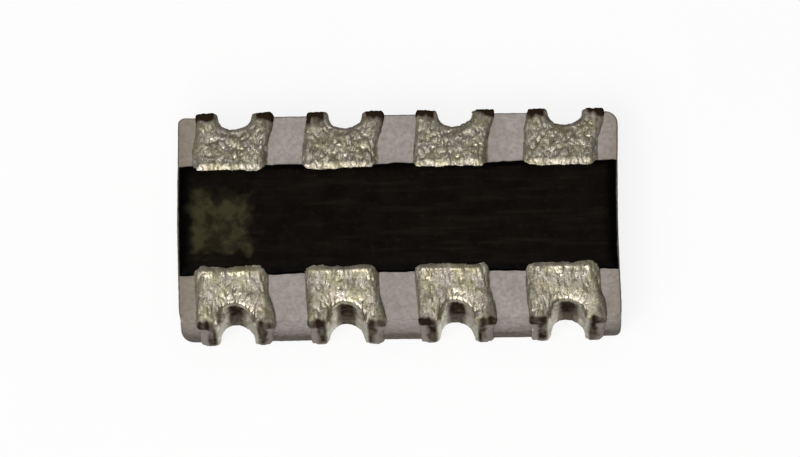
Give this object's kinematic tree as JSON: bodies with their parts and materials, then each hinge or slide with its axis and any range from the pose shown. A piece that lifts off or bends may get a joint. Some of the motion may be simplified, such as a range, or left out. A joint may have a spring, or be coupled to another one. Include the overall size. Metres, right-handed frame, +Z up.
{
  "type": "chip resistor array",
  "caption": "Rectangular surface-mount resistor network: a ceramic chip with a black coated middle band and castellated, plated solder terminals along both long sides.",
  "frame": {"origin": "under the middle of the chip, on the plane of its eight solder pads", "axes": "+X along the chip's length, +Y from the front row of terminals (1 to 4) to the back row (5 to 8), +Z up, out of the coated face"},
  "size_m": [0.0032, 0.0016, 0.0006],
  "materials": {
    "alumina": "matte",
    "black_resin": "satin",
    "resistor_film": "matte",
    "glass_coat": "gloss",
    "printed_silver": "matte",
    "nickel_plate": "satin",
    "tin_plate": "satin"
  },
  "bodies": {
    "root": {"substrate": "alumina", "overcoat": "black_resin", "resistor_film_1": "resistor_film", "resistor_film_2": "resistor_film", "resistor_film_3": "resistor_film", "resistor_film_4": "resistor_film", "glass_coat_1": "glass_coat", "glass_coat_2": "glass_coat", "glass_coat_3": "glass_coat", "glass_coat_4": "glass_coat", "top_electrode_1": "printed_silver", "top_electrode_2": "printed_silver", "top_electrode_3": "printed_silver", "top_electrode_4": "printed_silver", "top_electrode_5": "printed_silver", "top_electrode_6": "printed_silver", "top_electrode_7": "printed_silver", "top_electrode_8": "printed_silver", "bottom_electrode_1": "printed_silver", "bottom_electrode_2": "printed_silver", "bottom_electrode_3": "printed_silver", "bottom_electrode_4": "printed_silver", "bottom_electrode_5": "printed_silver", "bottom_electrode_6": "printed_silver", "bottom_electrode_7": "printed_silver", "bottom_electrode_8": "printed_silver", "edge_electrode_1": "printed_silver", "edge_electrode_2": "printed_silver", "edge_electrode_3": "printed_silver", "edge_electrode_4": "printed_silver", "edge_electrode_5": "printed_silver", "edge_electrode_6": "printed_silver", "edge_electrode_7": "printed_silver", "edge_electrode_8": "printed_silver", "nickel_barrier_1": "nickel_plate", "nickel_barrier_2": "nickel_plate", "nickel_barrier_3": "nickel_plate", "nickel_barrier_4": "nickel_plate", "nickel_barrier_5": "nickel_plate", "nickel_barrier_6": "nickel_plate", "nickel_barrier_7": "nickel_plate", "nickel_barrier_8": "nickel_plate", "tin_terminal_1": "tin_plate", "tin_terminal_2": "tin_plate", "tin_terminal_3": "tin_plate", "tin_terminal_4": "tin_plate", "tin_terminal_5": "tin_plate", "tin_terminal_6": "tin_plate", "tin_terminal_7": "tin_plate", "tin_terminal_8": "tin_plate"}
  },
  "joints": []
}
